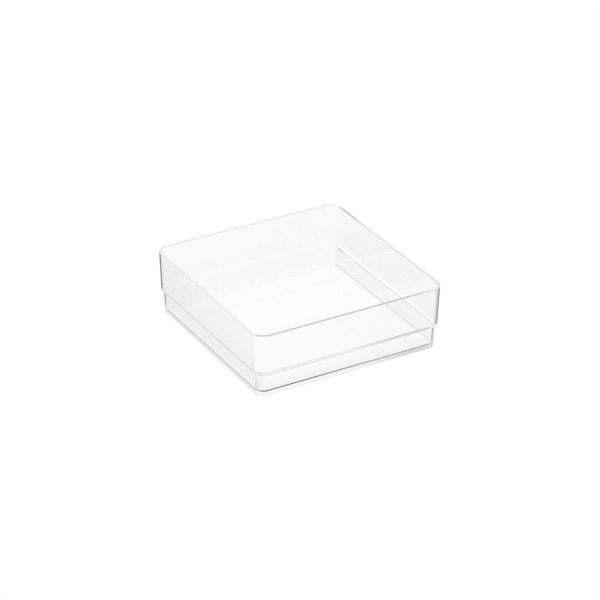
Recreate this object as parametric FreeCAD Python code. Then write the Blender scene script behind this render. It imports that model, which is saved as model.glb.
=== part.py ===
import FreeCAD, Part
import os

# Clear stacking tray for drawers: one open-topped moulding on a square plan, in millimetres.
# The origin is at the middle of the underside, and +Z is up.

# Overall sizes
rim_width = 152.4        # outside, across the rim, the same both ways
tray_height = 49.6       # from the surface it stands on to the rim
wall = 2.0               # measured square to the wall and to the step
floor_thickness = 2.3

# Walls: every side leans outwards, so that the tray leaves its mould
upper_draft = 1.1        # how far the rim stands out past the step, on each side
lower_draft = 0.5        # the same for the section below the step

# Step: the section below it fits inside the rim of a tray underneath
step_height = 18.6       # upper outside edge of the step
step_inset = 2.0         # how far the lower section stands in, on each side
step_drop = 2.0          # height of the sloping band

# Upright corners: one axis for the inside and the outside, so that the wall keeps its thickness
inside_corner = 4.7      # inside radius at the floor, which grows upwards with the lean

# Edge radii
rim_edge = 0.5
step_edge = 0.8
base_edge = 1.2
floor_fillet = 2.6

origin = FreeCAD.Vector(0, 0, 0)
upwards = FreeCAD.Vector(0, 0, 1)


def outside_profile():
    """Half width and height of each bend of the outside, from the base up to the rim."""
    rim_half = rim_width / 2
    step_half = rim_half - upper_draft
    lower_half = step_half - step_inset
    base_half = lower_half - lower_draft
    return [
        (base_half, 0.0),
        (lower_half, step_height - step_drop),
        (step_half, step_height),
        (rim_half, tray_height),
    ]


def moved_inwards(low, high):
    """The straight line through two bends, moved inwards by the wall."""
    run = high[0] - low[0]
    rise = high[1] - low[1]
    length = (run * run + rise * rise) ** 0.5
    across = -wall * rise / length
    up = wall * run / length
    return (low[0] + across, low[1] + up), (high[0] + across, high[1] + up)


def at_height(line, height):
    """The point of a profile line that lies at one height."""
    (low_half, low), (high_half, high) = line
    share = (height - low) / (high - low)
    return (low_half + share * (high_half - low_half), height)


def crossing(first, second):
    """The point where two profile lines meet."""
    (a, b), (c, d) = first
    (e, f), (g, h) = second
    turn = (c - a) * (h - f) - (g - e) * (d - b)
    share = ((e - a) * (h - f) - (g - e) * (f - b)) / turn
    return (a + share * (c - a), b + share * (d - b))


def inside_profile():
    """Half width and height of each bend of the inside, from the floor up past the rim."""
    bends = outside_profile()
    lower, slope, upper = [moved_inwards(low, high) for low, high in zip(bends, bends[1:])]
    return [
        at_height(lower, floor_thickness),
        crossing(lower, slope),
        crossing(slope, upper),
        at_height(upper, tray_height + wall),
    ]


def rounded_square(half, height):
    """Closed outline of a level section, from a quarter that is turned four times."""
    axis = inside_profile()[0][0] - inside_corner
    centre = FreeCAD.Vector(axis, axis, height)
    corner = Part.makeCircle(half - axis, centre, upwards, 0, 90)
    side = Part.makeLine(FreeCAD.Vector(axis, half, height), FreeCAD.Vector(-axis, half, height))
    edges = []
    for quarter in range(4):
        for edge in (corner, side):
            turned = edge.copy()
            turned.rotate(origin, upwards, 90 * quarter)
            edges.append(turned)
    return Part.Wire(edges)


def body_through(profile):
    """Solid through level sections, straight from each one to the next."""
    sections = [rounded_square(half, height) for half, height in profile]
    return Part.makeLoft(sections, True, True)


def edges_at(shape, height):
    """The level edges of a shape that lie at one height."""
    found = []
    for edge in shape.Edges:
        box = edge.BoundBox
        if abs(box.ZMin - height) < 0.01 and abs(box.ZMax - height) < 0.01:
            found.append(edge)
    return found


def with_bends_rounded(body, profile, bottom_radius):
    """A body with both bends of its step rounded, and the edge round its bottom."""
    bottom, lower_bend, upper_bend, _ = [height for _, height in profile]
    body = body.makeFillet(step_edge, edges_at(body, lower_bend) + edges_at(body, upper_bend))
    return body.makeFillet(bottom_radius, edges_at(body, bottom))


def outside_body():
    """The tray's outer form, filled."""
    profile = outside_profile()
    return with_bends_rounded(body_through(profile), profile, base_edge)


def cavity():
    """The space inside, with its ledge and with the fillet round the floor."""
    profile = inside_profile()
    return with_bends_rounded(body_through(profile), profile, floor_fillet)


def tray():
    """The whole moulding, with both edges of the rim eased."""
    moulding = outside_body().cut(cavity())
    return moulding.makeFillet(rim_edge, edges_at(moulding, tray_height))


os.makedirs("parts", exist_ok=True)
moulding = tray()
moulding.exportStep("parts/tray.step")
print("tray: %.1f cm3, %d faces, valid: %s" % (moulding.Volume / 1000, len(moulding.Faces), moulding.isValid()))
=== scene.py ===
from math import atan2, cos, hypot, pi, radians, sin, tan

import bpy
from mathutils import Matrix, Vector


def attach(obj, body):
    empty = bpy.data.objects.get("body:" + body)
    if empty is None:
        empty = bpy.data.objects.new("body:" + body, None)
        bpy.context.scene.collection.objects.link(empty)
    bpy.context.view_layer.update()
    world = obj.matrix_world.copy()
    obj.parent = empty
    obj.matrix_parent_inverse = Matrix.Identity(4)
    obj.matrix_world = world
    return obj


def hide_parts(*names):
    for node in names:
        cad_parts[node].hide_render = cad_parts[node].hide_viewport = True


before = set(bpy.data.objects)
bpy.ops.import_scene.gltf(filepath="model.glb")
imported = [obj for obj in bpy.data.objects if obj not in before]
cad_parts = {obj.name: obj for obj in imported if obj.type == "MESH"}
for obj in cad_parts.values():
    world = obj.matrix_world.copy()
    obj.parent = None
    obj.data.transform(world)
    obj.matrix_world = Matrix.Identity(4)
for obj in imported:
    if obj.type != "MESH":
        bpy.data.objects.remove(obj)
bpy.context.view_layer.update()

# The tray's driving sizes as in the CAD, in metres
rim_width = 0.1524
tray_height = 0.0496
wall = 0.0020
floor_thickness = 0.0023
upper_draft = 0.0011
lower_draft = 0.0005
step_height = 0.0186
step_inset = 0.0020
step_drop = 0.0020
inside_corner = 0.0047
rim_edge = 0.0005
step_edge = 0.0008
base_edge = 0.0012
floor_fillet = 0.0026

# What follows from them, for the outside
rim_half = rim_width / 2
step_half = rim_half - upper_draft
lower_half = step_half - step_inset
base_half = lower_half - lower_draft

# How finely the moulding is drawn: round each upright corner, and round each bend of its section
corner_steps = 48
edge_steps = 12

# The camera as fitted to the photograph: its angles, its place in metres, and its focal length in pixels
azimuth = radians(-30.44)
elevation = radians(28.85)
roll = radians(0.56)
camera_distance = 1.957
aim = Vector((0.0, 0.0, 0.025))
moved_right = 0.00151
moved_down = 0.00177
focal_length = 2723.56
picture_width = 600
sensor_width = 36.0

# The level directions away from the place of the photograph, and to its left
backwards = Vector((-sin(azimuth), cos(azimuth), 0.0))
sideways = Vector((-cos(azimuth), -sin(azimuth), 0.0))

# Further down, a ramp is written as two values, and the level at the first and at the second of them
# The levels of the floor and the surroundings were set against the photograph

# The plastic
white = (1.0, 1.0, 1.0, 1.0)
plastic_tint = (0.992, 0.992, 0.994, 1.0)
refractive_index = 1.59

# Its relief and its roughness: each noise has a scale and a detail, and lengths are in metres
wave_noise = (38.0, 1.0)
wave_height = 0.00002
scratch_noise = (1.0, 2.0)
scratch_turn = radians(28)
scratch_scale = (1400.0, 24.0, 600.0)
scratch_ramp = (0.68, 0.74, 0.0, 1.0)
scratch_depth = 0.0000015
least_level = 0.98
mark_noise = (55.0, 4.0)
mark_ramp = (0.42, 0.68, 0.006, 0.022)

# After how many reflections, and after how long a way, light leaves it
most_reflections = 2.5
longest_way = 9.5

# The light that it lets through to its shadow, where it is met face on and edge on
shadow_blend = 0.35
shadow_face_on = (0.95, 0.95, 0.955, 1.0)
shadow_edge_on = (0.45, 0.45, 0.47, 1.0)

# How the sides of the floor meet: on the diagonals, and across the middle
diagonal = (-0.004, 0.004, 0.0, 1.0)
across_middle = (-0.010, 0.010, 0.0, 1.0)

# Levels of the open floor in one reflection, by place in metres, with a painted contact shadow: dark at the
# tray's base and paler further out
behind_tray = (base_half, base_half + 0.060, 0.50, 0.68)
front_outwards = (base_half, base_half + 0.020, 0.0, 1.0)
front_base_left = (-0.068, -0.045, 0.36, 0.02)
front_base_right = (-0.005, 0.025, 0.0, 0.14)
front_open = (0.010, 0.070, 0.87, 0.66)
left_base = (base_half + 0.0035, base_half + 0.007, 0.80, 0.58)
left_open = (base_half + 0.014, base_half + 0.045, 0.0, 0.22)

# Painted shade beside the front left corner: along the side, and where it starts and ends outwards
corner_along = (-0.062, -0.048, 0.80, 0.0)
corner_starts = (base_half + 0.0038, base_half + 0.0073, 0.10, 1.0)
corner_ends = (0.090, 0.096, 1.0, 0.0)

# Beyond the right corner of the tray, and the level there
past_right_corner = (0.102, 0.106, 0.0, 1.0)
right_corner_open = (0.085, 0.105, 0.95, 0.78)

# Painted shadow of the tray on the floor, behind its two corners as seen in reflections: sines between
# which it shades the floor, and its shade close to the corner and further away
left_painted_shadow = (-0.06, 0.50, 1.0, 0.90)
right_painted_shadow = (0.04, 0.46, 0.60, 0.93)
far_right_painted_shade = (0.84, 1.0, 0.45, 0.45)

# Between which distances the painted shadow changes, and over how much of the sine its two sides are
# blurred
painted_shadow_near = 0.020
painted_shadow_far = 0.045
painted_shadow_first_side = 0.07
painted_shadow_last_side = 0.25

# The strip beneath the tray's front edge
front_strip = (-0.070, -0.066, 1.0, 0.0)

# Levels of the floor beneath the tray in one reflection: painted shade, dark towards the base edge
beneath_middle = (0.010, 0.020, 0.65, 0.51)
beneath_left = (-0.068, -0.064, 0.38, 0.50)
beneath_front = (-0.030, 0.030, 0.0, 0.32)
towards_base = (0.060, 0.068, 0.0, 1.0)

# Painted levels of the glowing floor, with painted shade by side, in light that was caught in the plastic
caught_behind = (0.0, 0.035, 0.88, 0.52)
caught_in_front = (0.068, 0.084, 0.545, 0.74)
caught_left = (-0.060, -0.048, 0.545, 0.84)
caught_right = 0.84
caught_beneath = 0.78
caught_front_strip = (0.004, 0.042, 0.89, 0.62)

# The floor seen straight, through the plastic and in two reflections, and what plain paint takes of it
floor_straight = 1.06
floor_through = 1.033
floor_twice = 1.05
glow_share = 0.93
paint_colour = (0.40, 0.40, 0.40, 1.0)

# Where the floor lies and how far it goes
floor_gap = 0.0002
floor_reach = 3.0

# Levels of the surroundings, by the height or the rightward part of a direction
sky_low = (0.15, 0.48, 0.35, 1.02)
sky_overhead = (0.55, 0.72, 1.0, 0.72)
sky_twice = 1.08

# Their low part in light that was caught in the plastic: its levels ahead, and far to the right
low_ahead = (0.19, 0.26, 0.68, 0.96)
low_far_right = (0.270, 0.290, 0.57, 0.79)
far_right = (0.6, 0.8, 0.0, 1.0)

# A narrow dark band in that part, and what is above it
band_starts = (0.287, 0.297, 0.0, 0.25)
band_ends = (0.300, 0.320, 1.0, 0.0)
low_ends = (0.33, 0.45, 0.0, 1.0)
caught_high = 0.95


def moved_inwards(low, high):
    """The straight line through two bends of the section, moved inwards by the wall."""
    run = high[0] - low[0]
    rise = high[1] - low[1]
    length = hypot(run, rise)
    across = -wall * rise / length
    up = wall * run / length
    return (low[0] + across, low[1] + up), (high[0] + across, high[1] + up)


def at_height(line, height):
    """The point of a section line that lies at one height."""
    (low_half, low), (high_half, high) = line
    share = (height - low) / (high - low)
    return (low_half + share * (high_half - low_half), height)


def crossing(first, second):
    """The point where two section lines meet."""
    (a, b), (c, d) = first
    (e, f), (g, h) = second
    turn = (c - a) * (h - f) - (g - e) * (d - b)
    share = ((e - a) * (h - f) - (g - e) * (f - b)) / turn
    return (a + share * (c - a), b + share * (d - b))


def section_bends():
    """The bends of the wall's section with their radii, up the outside and down the inside."""
    outside = [
        (base_half, 0.0),
        (lower_half, step_height - step_drop),
        (step_half, step_height),
        (rim_half, tray_height),
    ]
    lower, slope, upper = [moved_inwards(low, high) for low, high in zip(outside, outside[1:])]
    return [
        (outside[0], base_edge),
        (outside[1], step_edge),
        (outside[2], step_edge),
        (outside[3], rim_edge),
        (at_height(upper, tray_height), rim_edge),
        (crossing(slope, upper), step_edge),
        (crossing(lower, slope), step_edge),
        (at_height(lower, floor_thickness), floor_fillet),
    ]


def rounded_section(axis):
    """Points of the section with an arc at every bend, each with the direction that it faces."""
    bends = section_bends()
    corners = [(axis, 0.0)] + [bend for bend, _ in bends] + [(axis, floor_thickness)]
    points = []
    for number, (bend, radius) in enumerate(bends):
        before = Vector(corners[number])
        after = Vector(corners[number + 2])
        here = Vector(bend)
        arriving = (here - before).normalized()
        leaving = (after - here).normalized()
        turn = atan2(arriving.cross(leaving), arriving.dot(leaving))
        side = 1 if turn > 0 else -1
        facing = Vector((arriving.y, -arriving.x))
        centre = here - arriving * radius * tan(abs(turn) / 2) - facing * radius * side
        for step in range(edge_steps + 1):
            angle = turn * step / edge_steps
            across = facing.x * cos(angle) - facing.y * sin(angle)
            up = facing.x * sin(angle) + facing.y * cos(angle)
            place = centre + Vector((across, up)) * radius * side
            points.append((place.x, place.y, across, up))
    return points


def corner_axis():
    """How far the four upright corner axes stand from the middle."""
    return section_bends()[-1][0][0] - inside_corner


def corner_ring(axis):
    """Axis and direction of every upright line of points, once round the four corners."""
    ring = []
    for quarter, (side_x, side_y) in enumerate(((1, 1), (-1, 1), (-1, -1), (1, -1))):
        for step in range(corner_steps + 1):
            angle = (quarter + step / corner_steps) * pi / 2
            ring.append((side_x * axis, side_y * axis, cos(angle), sin(angle)))
    return ring


def moulding_mesh():
    """The whole tray: its section carried round the four corners, with exact facing directions."""
    axis = corner_axis()
    section = rounded_section(axis)
    ring = corner_ring(axis)
    places = []
    facings = []
    for half, height, across, up in section:
        reach = half - axis
        for centre_x, centre_y, right, forth in ring:
            places.append((centre_x + reach * right, centre_y + reach * forth, height))
            facings.append((across * right, across * forth, up))
    count = len(ring)
    faces = []
    for level in range(len(section) - 1):
        low = level * count
        high = low + count
        for here in range(count):
            beside = (here + 1) % count
            faces.append((low + here, low + beside, high + beside, high + here))

    # The underside, and the floor inside
    faces.append(tuple(reversed(range(count))))
    faces.append(tuple((len(section) - 1) * count + here for here in range(count)))

    mesh = bpy.data.meshes.new("tray_moulding")
    mesh.from_pydata(places, [], faces)
    mesh.polygons.foreach_set("use_smooth", [True] * len(mesh.polygons))
    mesh.update()
    mesh.normals_split_custom_set_from_vertices(facings)
    return mesh


class Nodes:
    """Short ways to add and join the nodes of one tree."""

    def __init__(self, tree):
        self.tree = tree
        for node in list(tree.nodes):
            tree.nodes.remove(node)

    def add(self, kind, **settings):
        """A new node with its settings."""
        node = self.tree.nodes.new(kind)
        for name, setting in settings.items():
            setattr(node, name, setting)
        return node

    def feed(self, socket, value):
        """Give a socket the output of a node, or a constant."""
        if isinstance(value, bpy.types.NodeSocket):
            self.tree.links.new(value, socket)
        else:
            socket.default_value = value

    def parts(self, vector):
        """The X, Y and Z of a vector."""
        node = self.add("ShaderNodeSeparateXYZ")
        self.feed(node.inputs["Vector"], vector)
        return node.outputs["X"], node.outputs["Y"], node.outputs["Z"]

    def math(self, operation, first, second=0.0):
        """One operation on one or two numbers."""
        node = self.add("ShaderNodeMath", operation=operation)
        self.feed(node.inputs[0], first)
        self.feed(node.inputs[1], second)
        return node.outputs[0]

    def vector(self, operation, first, second=None, result="Vector"):
        """One operation on one or two vectors."""
        node = self.add("ShaderNodeVectorMath", operation=operation)
        self.feed(node.inputs[0], first)
        if second is not None:
            self.feed(node.inputs[1], second)
        return node.outputs[result]

    def dot(self, first, second):
        """How far one vector goes along another."""
        return self.vector("DOT_PRODUCT", first, second, "Value")

    def ramp(self, value, ramp):
        """The level that a ramp has at a value: even between its ends, and constant past them."""
        node = self.add("ShaderNodeMapRange")
        self.feed(node.inputs["Value"], value)
        for name, number in zip(("From Min", "From Max", "To Min", "To Max"), ramp):
            node.inputs[name].default_value = number
        return node.outputs["Result"]

    def mix(self, factor, first, second, kind="FLOAT"):
        """The first number or colour where the factor is 0, and the second one where it is 1."""
        node = self.add("ShaderNodeMix", data_type=kind)
        self.feed(node.inputs["Factor"], factor)
        self.feed(node.inputs["A"], first)
        self.feed(node.inputs["B"], second)
        return node.outputs["Result"]

    def shaders(self, factor, first, second):
        """The same for two shaders."""
        node = self.add("ShaderNodeMixShader")
        self.feed(node.inputs[0], factor)
        self.feed(node.inputs[1], first)
        self.feed(node.inputs[2], second)
        return node.outputs[0]

    def noise(self, place, scale, detail):
        """Soft random values from 0 to 1."""
        node = self.add("ShaderNodeTexNoise")
        self.feed(node.inputs["Vector"], place)
        node.inputs["Scale"].default_value = scale
        node.inputs["Detail"].default_value = detail
        return node.outputs["Fac"]

    def bump(self, height, distance, below=None):
        """Relief on the surface, or on top of another relief."""
        node = self.add("ShaderNodeBump")
        node.inputs["Strength"].default_value = 1.0
        node.inputs["Distance"].default_value = distance
        self.feed(node.inputs["Height"], height)
        if below is not None:
            self.feed(node.inputs["Normal"], below)
        return node.outputs["Normal"]

    def by_reflections(self, amounts):
        """One amount for each number of reflections on the way, from none; the last is for all above it."""
        count = self.add("ShaderNodeLightPath").outputs["Glossy Depth"]
        chosen = amounts[0]
        for number, amount in enumerate(amounts[1:]):
            chosen = self.mix(self.math("GREATER_THAN", count, number + 0.5), chosen, amount)
        return chosen


def clear_plastic():
    """Clear polystyrene as moulded, with slight waviness, handling marks and hairline scratches."""
    material = bpy.data.materials.new("clear_polystyrene")
    material.use_nodes = True
    nodes = Nodes(material.node_tree)
    out = nodes.add("ShaderNodeOutputMaterial")
    place = nodes.add("ShaderNodeTexCoord").outputs["Object"]

    # Slow waviness of the moulded faces
    wavy = nodes.bump(nodes.noise(place, *wave_noise), wave_height)

    # Hairline scratches on the level faces, where things slide
    turned = nodes.add("ShaderNodeMapping")
    nodes.feed(turned.inputs["Vector"], place)
    turned.inputs["Rotation"].default_value = (0.0, 0.0, scratch_turn)
    turned.inputs["Scale"].default_value = scratch_scale
    streaks = nodes.ramp(nodes.noise(turned.outputs["Vector"], *scratch_noise), scratch_ramp)
    _, _, upright = nodes.parts(nodes.add("ShaderNodeNewGeometry").outputs["Normal"])
    level = nodes.math("GREATER_THAN", nodes.math("ABSOLUTE", upright), least_level)
    scratched = nodes.bump(nodes.math("MULTIPLY", streaks, level), scratch_depth, wavy)

    plastic = nodes.add("ShaderNodeBsdfPrincipled")
    plastic.inputs["Base Color"].default_value = plastic_tint
    plastic.inputs["IOR"].default_value = refractive_index
    plastic.inputs["Transmission Weight"].default_value = 1.0
    handled = nodes.ramp(nodes.noise(place, *mark_noise), mark_ramp)
    nodes.feed(plastic.inputs["Roughness"], handled)
    nodes.feed(plastic.inputs["Normal"], scratched)

    # Light caught inside leaves after three reflections, and the studio's light shines through
    path = nodes.add("ShaderNodeLightPath")
    lamp = nodes.math("MAXIMUM", path.outputs["Is Shadow Ray"], path.outputs["Is Diffuse Ray"])
    caught = nodes.math("GREATER_THAN", path.outputs["Glossy Depth"], most_reflections)
    long_way = nodes.math("GREATER_THAN", path.outputs["Ray Depth"], longest_way)
    leaves = nodes.math("MAXIMUM", caught, long_way)
    edge = nodes.add("ShaderNodeLayerWeight")
    edge.inputs["Blend"].default_value = shadow_blend
    shade = nodes.mix(edge.outputs["Facing"], shadow_face_on, shadow_edge_on, "RGBA")
    through = nodes.add("ShaderNodeBsdfTransparent")
    nodes.feed(through.inputs["Color"], nodes.mix(leaves, shade, white, "RGBA"))
    passes = nodes.math("MAXIMUM", lamp, leaves)
    surface = nodes.shaders(passes, plastic.outputs["BSDF"], through.outputs["BSDF"])
    nodes.feed(out.inputs["Surface"], surface)
    return material


class FloorPlace:
    """Where a point of the floor lies: how far out, and on which side of the tray."""

    def __init__(self, nodes):
        self.nodes = nodes
        self.place = nodes.add("ShaderNodeTexCoord").outputs["Object"]
        self.x, self.y, _ = nodes.parts(self.place)
        across = nodes.math("ABSOLUTE", self.x)
        forth = nodes.math("ABSOLUTE", self.y)
        self.reach = nodes.math("MAXIMUM", across, forth)
        self.under = nodes.math("LESS_THAN", self.reach, base_half)
        self.in_front_strip = nodes.ramp(self.y, front_strip)
        self.sideward = nodes.ramp(nodes.math("SUBTRACT", across, forth), diagonal)
        self.rightward = nodes.ramp(self.x, across_middle)
        self.hindward = nodes.ramp(self.y, across_middle)

    def by_side(self, front, behind, left, right):
        """One level for each side of the tray."""
        front_or_behind = self.nodes.mix(self.hindward, front, behind)
        left_or_right = self.nodes.mix(self.rightward, left, right)
        return self.nodes.mix(self.sideward, front_or_behind, left_or_right)


def painted_shadow_behind_corner(nodes, place, corner, across, shadow_levels):
    """How much painted shadow behind one corner of the tray darkens the floor, as seen in reflections."""
    begins, ends, near, far = shadow_levels
    offset = nodes.vector("SUBTRACT", place, corner)
    distance = nodes.vector("LENGTH", offset, result="Value")
    depth = nodes.ramp(distance, (painted_shadow_near, painted_shadow_far, near, far))
    away = nodes.vector("NORMALIZE", offset)
    ahead = nodes.math("GREATER_THAN", nodes.dot(away, backwards), 0.0)
    sine = nodes.dot(away, across)
    past_first = nodes.ramp(sine, (begins, begins + painted_shadow_first_side, 0.0, 1.0))
    before_last = nodes.ramp(sine, (ends, ends + painted_shadow_last_side, 1.0, 0.0))
    inside = nodes.math("MULTIPLY", ahead, nodes.math("MULTIPLY", past_first, before_last))
    return nodes.math("MULTIPLY", inside, depth)


def clear_of_painted_shadow(nodes, place):
    """What the painted shadow behind the corners leaves of the floor's brightness: 1 where there is none.
    """
    left_corner = (-rim_half, rim_half, 0.0)
    right_corner = (rim_half, -rim_half, 0.0)
    # Painted shadow of the tray behind its left and right corners, and a narrower painted shade beyond the
    # right corner
    at_left = painted_shadow_behind_corner(nodes, place, left_corner, sideways, left_painted_shadow)
    at_right = painted_shadow_behind_corner(nodes, place, right_corner, -sideways, right_painted_shadow)
    beside_right = painted_shadow_behind_corner(nodes, place, right_corner, -sideways, far_right_painted_shade)
    darkest = nodes.math("MAXIMUM", nodes.math("MAXIMUM", at_left, at_right), beside_right)
    return nodes.math("SUBTRACT", 1.0, darkest)


def open_floor_once(nodes, floor):
    """Brightness of the floor round the tray in one reflection: a painted contact shadow, dark at the base
    and paler further out.
    """
    # Painted shade of the tray: dark at its base, behind it and at its sides, paler further out
    behind = nodes.ramp(floor.reach, behind_tray)
    base_left = nodes.ramp(floor.x, front_base_left)
    base_right = nodes.ramp(floor.x, front_base_right)
    front_base_painted_shade = nodes.math("ADD", base_left, base_right)
    outwards = nodes.ramp(floor.reach, front_outwards)
    front = nodes.mix(outwards, front_base_painted_shade, nodes.ramp(floor.x, front_open))
    left = nodes.math("ADD", nodes.ramp(floor.reach, left_base), nodes.ramp(floor.reach, left_open))
    # Painted shade on the floor beside the front left corner
    starts = nodes.ramp(floor.reach, corner_starts)
    ends = nodes.ramp(floor.reach, corner_ends)
    corner_painted_shade = nodes.math("MULTIPLY", nodes.ramp(floor.y, corner_along), nodes.math("MULTIPLY", starts, ends))
    left = nodes.math("MULTIPLY", left, nodes.math("SUBTRACT", 1.0, corner_painted_shade))
    lit = floor.by_side(front, behind, left, behind)
    beyond = nodes.ramp(nodes.dot(floor.place, -sideways), past_right_corner)
    lit = nodes.mix(beyond, lit, nodes.ramp(floor.reach, right_corner_open))
    return nodes.math("MULTIPLY", lit, clear_of_painted_shadow(nodes, floor.place))


def beneath_once(nodes, floor):
    """Brightness of the floor beneath the tray in one reflection: painted shade, dark towards the base
    edge.
    """
    # Painted shade beneath the tray, darkest towards its base edge
    left = nodes.ramp(floor.x, beneath_left)
    front = nodes.ramp(floor.x, beneath_front)
    edge = nodes.mix(floor.in_front_strip, left, front)
    middle = nodes.ramp(floor.y, beneath_middle)
    return nodes.mix(nodes.ramp(floor.reach, towards_base), middle, edge)


def floor_caught(nodes, floor):
    """Brightness of the floor in light that was caught in the plastic: painted shade by side and beneath
    the tray.
    """
    front = nodes.ramp(floor.x, caught_in_front)
    behind = nodes.ramp(floor.x, caught_behind)
    left = nodes.ramp(floor.y, caught_left)
    open_floor = floor.by_side(front, behind, left, caught_right)
    strip = nodes.ramp(floor.x, caught_front_strip)
    beneath = nodes.mix(floor.in_front_strip, caught_beneath, strip)
    return nodes.mix(floor.under, open_floor, beneath)


def white_ground():
    """Plain floor: white to the eye and through the tray; in reflections it glows with painted shade and
    painted shadows of the tray.
    """
    material = bpy.data.materials.new("ground")
    material.use_nodes = True
    nodes = Nodes(material.node_tree)
    out = nodes.add("ShaderNodeOutputMaterial")
    floor = FloorPlace(nodes)
    path = nodes.add("ShaderNodeLightPath")
    straight = nodes.mix(path.outputs["Is Camera Ray"], floor_through, floor_straight)
    # In one reflection the floor glows with painted shade round and beneath the tray
    once = nodes.mix(floor.under, open_floor_once(nodes, floor), beneath_once(nodes, floor))
    caught = floor_caught(nodes, floor)
    glow = nodes.add("ShaderNodeEmission")
    nodes.feed(glow.inputs["Strength"], nodes.by_reflections([straight, once, floor_twice, caught]))

    # A part of the floor seen straight is plain paint, which keeps the tray's faint shadow
    paint = nodes.add("ShaderNodeBsdfDiffuse")
    paint.inputs["Color"].default_value = paint_colour
    seen = nodes.math("MAXIMUM", path.outputs["Is Camera Ray"], path.outputs["Is Transmission Ray"])
    seen = nodes.math("MAXIMUM", seen, path.outputs["Is Glossy Ray"])
    bright = nodes.math("MULTIPLY", nodes.by_reflections([glow_share, 1.0]), seen)
    above = nodes.shaders(bright, paint.outputs["BSDF"], glow.outputs["Emission"])

    # From below it isn't there, so that the tray's underside shows
    below = nodes.add("ShaderNodeNewGeometry").outputs["Backfacing"]
    nothing = nodes.add("ShaderNodeBsdfTransparent")
    nodes.feed(out.inputs["Surface"], nodes.shaders(below, above, nothing.outputs["BSDF"]))
    return material


def add_ground():
    """The floor, just under the tray's underside."""
    corners = [(-1, -1), (1, -1), (1, 1), (-1, 1)]
    places = [(x * floor_reach, y * floor_reach, -floor_gap) for x, y in corners]
    mesh = bpy.data.meshes.new("ground")
    mesh.from_pydata(places, [], [(0, 1, 2, 3)])
    mesh.materials.append(white_ground())
    ground = bpy.data.objects.new("ground", mesh)
    bpy.context.scene.collection.objects.link(ground)


def add_world():
    """Pale surroundings, darker low down and overhead, and white where the camera looks past the floor."""
    world = bpy.data.worlds.new("surroundings")
    bpy.context.scene.world = world
    world.use_nodes = True
    nodes = Nodes(world.node_tree)
    out = nodes.add("ShaderNodeOutputWorld")
    x, _, z = nodes.parts(nodes.add("ShaderNodeTexCoord").outputs["Generated"])
    sky = nodes.math("MULTIPLY", nodes.ramp(z, sky_low), nodes.ramp(z, sky_overhead))

    # Light that was caught in the plastic shows them shaded low down
    low = nodes.mix(nodes.ramp(x, far_right), nodes.ramp(x, low_ahead), nodes.ramp(z, low_far_right))
    band = nodes.math("MULTIPLY", nodes.ramp(x, band_starts), nodes.ramp(x, band_ends))
    low = nodes.math("SUBTRACT", low, band)
    caught = nodes.mix(nodes.ramp(z, low_ends), low, caught_high)

    shade = nodes.add("ShaderNodeBackground")
    shade.inputs["Color"].default_value = white
    nodes.feed(shade.inputs["Strength"], nodes.by_reflections([sky, sky, sky_twice, caught]))
    past_floor = nodes.add("ShaderNodeBackground")
    past_floor.inputs["Color"].default_value = white
    past_floor.inputs["Strength"].default_value = 1.0
    camera_ray = nodes.add("ShaderNodeLightPath").outputs["Is Camera Ray"]
    surface = nodes.shaders(camera_ray, shade.outputs["Background"], past_floor.outputs["Background"])
    nodes.feed(out.inputs["Surface"], surface)


def add_camera():
    """The camera where the photograph was taken from."""
    back = Vector((sin(azimuth) * cos(elevation), -cos(azimuth) * cos(elevation), sin(elevation)))
    right = (-back).cross(Vector((0.0, 0.0, 1.0))).normalized()
    up = right.cross(-back)
    turned_right = right * cos(roll) + up * sin(roll)
    turned_up = up * cos(roll) - right * sin(roll)
    pose = Matrix((turned_right, turned_up, back)).transposed().to_4x4()
    pose.translation = aim + back * camera_distance + right * moved_right - up * moved_down
    lens = bpy.data.cameras.new("camera")
    lens.sensor_width = sensor_width
    lens.lens = focal_length / picture_width * sensor_width
    camera = bpy.data.objects.new("camera", lens)
    bpy.context.scene.collection.objects.link(camera)
    camera.matrix_world = pose
    bpy.context.scene.camera = camera


bpy.context.scene.view_settings.view_transform = "Standard"
add_camera()
add_world()
add_ground()

moulding = bpy.data.objects.new("tray_moulding", moulding_mesh())
bpy.context.scene.collection.objects.link(moulding)
moulding.data.materials.append(clear_plastic())
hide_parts("tray")
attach(moulding, "root")
